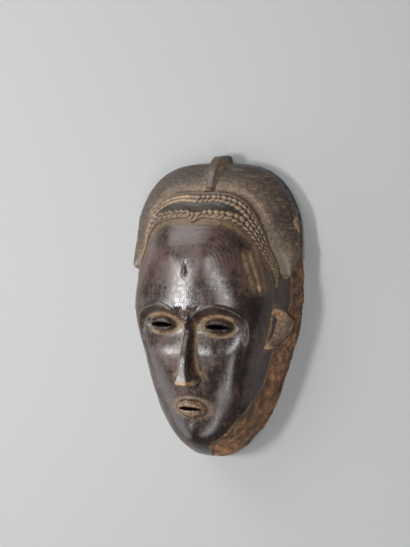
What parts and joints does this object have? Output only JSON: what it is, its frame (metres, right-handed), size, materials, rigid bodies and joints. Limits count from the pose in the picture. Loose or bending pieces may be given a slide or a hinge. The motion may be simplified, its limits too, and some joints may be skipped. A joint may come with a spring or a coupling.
{
  "type": "dance mask",
  "caption": "Carved wooden dance mask: a hollow shell with a calm face, arched braided hair band, lappeted crest and flanged back rim.",
  "frame": {"origin": "centre of the mask's box, in the plane of its back rim", "axes": "+X to the right as the face is looked at, +Y from chin to crown, +Z forward out of the face"},
  "size_m": [0.18, 0.3012, 0.0921],
  "materials": {
    "wood": "dark glossy patina, worn to raw wood at the rim"
  },
  "bodies": {
    "root": {"mask": "wood"}
  },
  "joints": []
}
